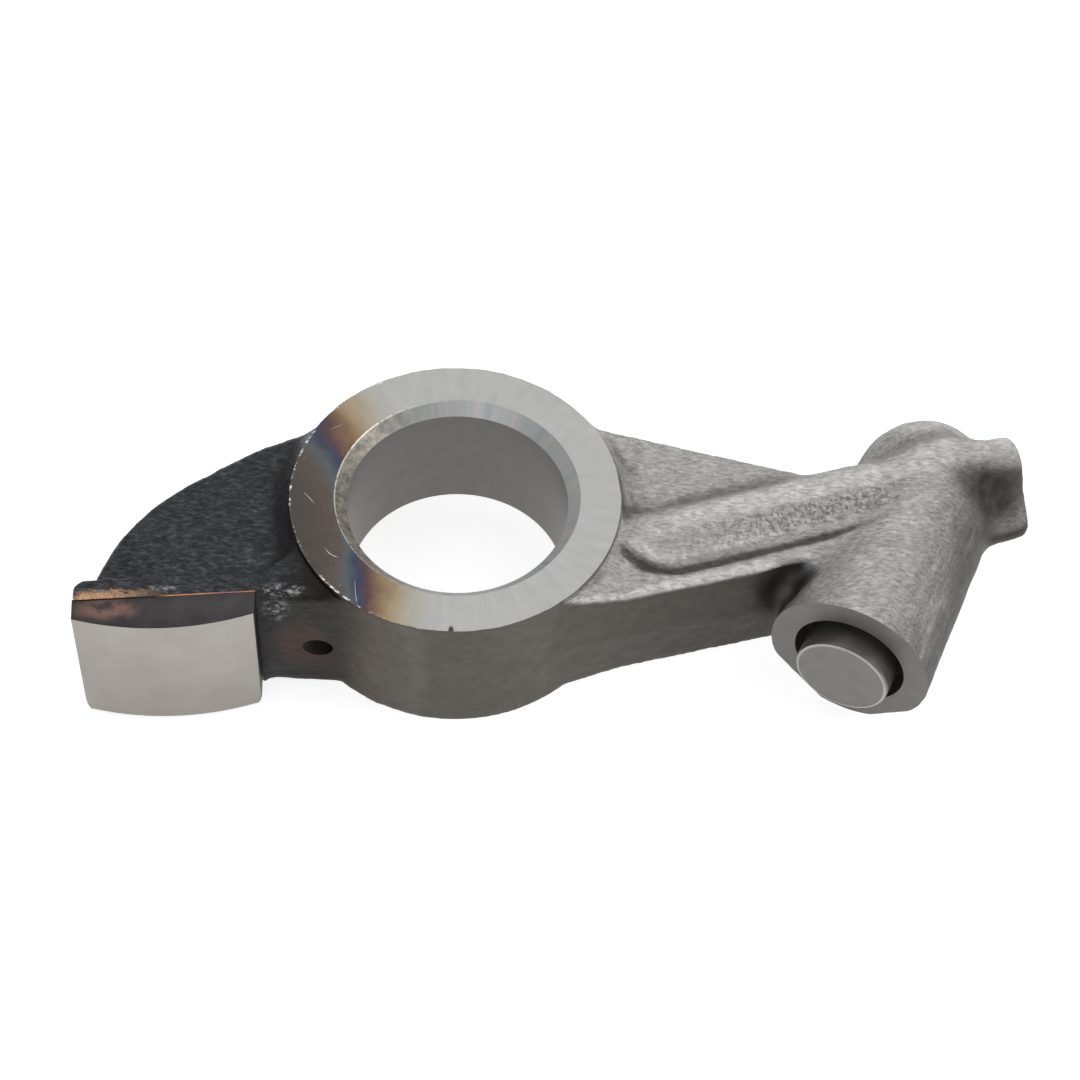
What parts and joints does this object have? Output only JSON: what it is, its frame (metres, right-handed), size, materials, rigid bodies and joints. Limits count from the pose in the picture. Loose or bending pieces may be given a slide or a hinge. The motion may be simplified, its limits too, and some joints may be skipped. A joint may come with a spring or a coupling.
{
  "type": "rocker arm",
  "caption": "Forged overhead-cam rocker arm with a shaft bore, a brazed cam pad, an oil gallery under a rib, and a hydraulic lash adjuster in its boss.",
  "frame": {"origin": "centre of the shaft bore, midway between its ends", "axes": "+Z along the shaft bore, +X towards the adjuster, -Y towards the cam and the valve"},
  "size_m": [0.0859, 0.0309, 0.015],
  "materials": {
    "forging": "shot-blasted forging, heat-tinted towards the pad",
    "pad": "ground",
    "braze": "copper braze",
    "adjuster_steel": "ground",
    "spring_steel": "drawn wire and pressed strip",
    "ball_steel": "polished",
    "seal": "matte"
  },
  "bodies": {
    "arm": {"rocker_arm": "forging", "cam_pad": "pad", "braze_seam": "braze", "gallery_plug": "ball_steel", "adjuster_plunger": "adjuster_steel", "ball_cage": "spring_steel", "check_spring": "spring_steel", "plunger_spring": "spring_steel"},
    "adjuster": {"adjuster_body": "adjuster_steel", "seal_ring": "seal", "plunger_retainer": "spring_steel"},
    "check_valve": {"check_ball": "ball_steel"}
  },
  "joints": [
    {"name": "adjuster_travel", "type": "slide", "parent": "arm", "child": "adjuster", "axis": [-0.3971, -0.9178, 0], "range_m": [-0.002, 0], "stiffness_N_per_m": 5000, "springref_m": 0.0005, "deforming": ["plunger_spring"]},
    {"name": "check_ball_lift", "type": "slide", "parent": "arm", "child": "check_valve", "axis": [-0.3971, -0.9178, 0], "range_m": [0, 0.00025], "stiffness_N_per_m": 100, "deforming": ["check_spring"]}
  ]
}
